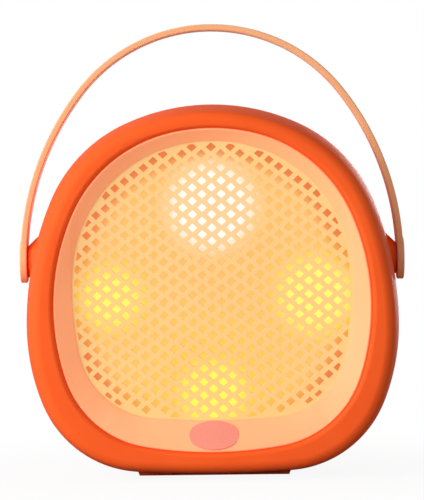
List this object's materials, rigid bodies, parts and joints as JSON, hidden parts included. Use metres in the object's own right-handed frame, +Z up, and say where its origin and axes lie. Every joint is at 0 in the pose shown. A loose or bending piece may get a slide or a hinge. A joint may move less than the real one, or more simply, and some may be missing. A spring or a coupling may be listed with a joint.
{
  "type": "portable speaker",
  "caption": "Egg-shaped portable speaker with lights behind a diamond-lattice grille, an orange housing, a peach bezel and a swinging flat carry strap.",
  "frame": {"origin": "on the ground under the middle of the foot", "axes": "+Z up, +X to the viewer's right seen from the front, the grille faces -Y"},
  "size_m": [0.154, 0.0692, 0.1805],
  "materials": {
    "orange_shell": "satin moulded plastic",
    "peach_bezel": "satin moulded plastic",
    "peach_lattice": "satin moulded plastic, slightly translucent",
    "badge_pink": "smooth",
    "milky_sheet": "translucent light spreader",
    "strap_rubber": "soft-touch",
    "foot_rubber": "matt",
    "button_orange": "soft-touch",
    "white_plastic": "smooth",
    "black_plastic": "matt",
    "white_board": "solder resist",
    "green_board": "solder resist",
    "light_chip": "clear dome over a light",
    "magnet_iron": "plated",
    "cone_paper": "pressed paper",
    "spider_cloth": "woven, stiffened",
    "coil_wire": "enamelled wire",
    "cell_can": "sleeved",
    "steel": "plain",
    "seal": "matt"
  },
  "bodies": {
    "housing": {"front_shell": "orange_shell", "rear_shell": "orange_shell", "seam_gasket": "seal", "shell_screws": "steel", "bezel": "peach_bezel", "grille": "peach_lattice", "badge": "badge_pink", "light_diffuser": "milky_sheet", "led_board": "white_board", "led_chips": "light_chip", "driver_basket": "black_plastic", "driver_magnet": "magnet_iron", "driver_surround": "seal", "driver_spider": "spider_cloth", "driver_screws": "steel", "battery_cell": "cell_can", "battery_cradle": "black_plastic", "main_board": "green_board", "board_screws": "steel", "usb_socket": "steel", "switch_bodies": "black_plastic", "foot": "foot_rubber"},
    "handle": {"handle_strap": "strap_rubber", "pivot_pins": "steel", "pivot_clips": "steel"},
    "cone": {"driver_cone": "cone_paper", "driver_coil": "coil_wire"},
    "power_key": {"button_power": "button_orange", "stem_power": "white_plastic"},
    "minus_key": {"button_minus": "button_orange", "stem_minus": "white_plastic"},
    "plus_key": {"button_plus": "button_orange", "stem_plus": "white_plastic"},
    "light_key": {"button_light": "button_orange", "stem_light": "white_plastic"}
  },
  "joints": [
    {"name": "handle_swing", "type": "hinge", "parent": "housing", "child": "handle", "pos_m": [0, 0, 0.0861], "axis": [1, 0, 0], "range_deg": [-85, 85]},
    {"name": "cone_travel", "type": "slide", "parent": "housing", "child": "cone", "axis": [0, -1, 0], "range_m": [-0.001, 0.001], "stiffness_N_per_m": 1000, "deforming": ["driver_surround", "driver_spider"]},
    {"name": "power_press", "type": "slide", "parent": "housing", "child": "power_key", "axis": [0, -1, 0], "range_m": [0, 0.0008], "stiffness_N_per_m": 400},
    {"name": "minus_press", "type": "slide", "parent": "housing", "child": "minus_key", "axis": [0, -1, 0], "range_m": [0, 0.0008], "stiffness_N_per_m": 400},
    {"name": "plus_press", "type": "slide", "parent": "housing", "child": "plus_key", "axis": [0, -1, 0], "range_m": [0, 0.0008], "stiffness_N_per_m": 400},
    {"name": "light_press", "type": "slide", "parent": "housing", "child": "light_key", "axis": [0, -1, 0], "range_m": [0, 0.0008], "stiffness_N_per_m": 400}
  ]
}
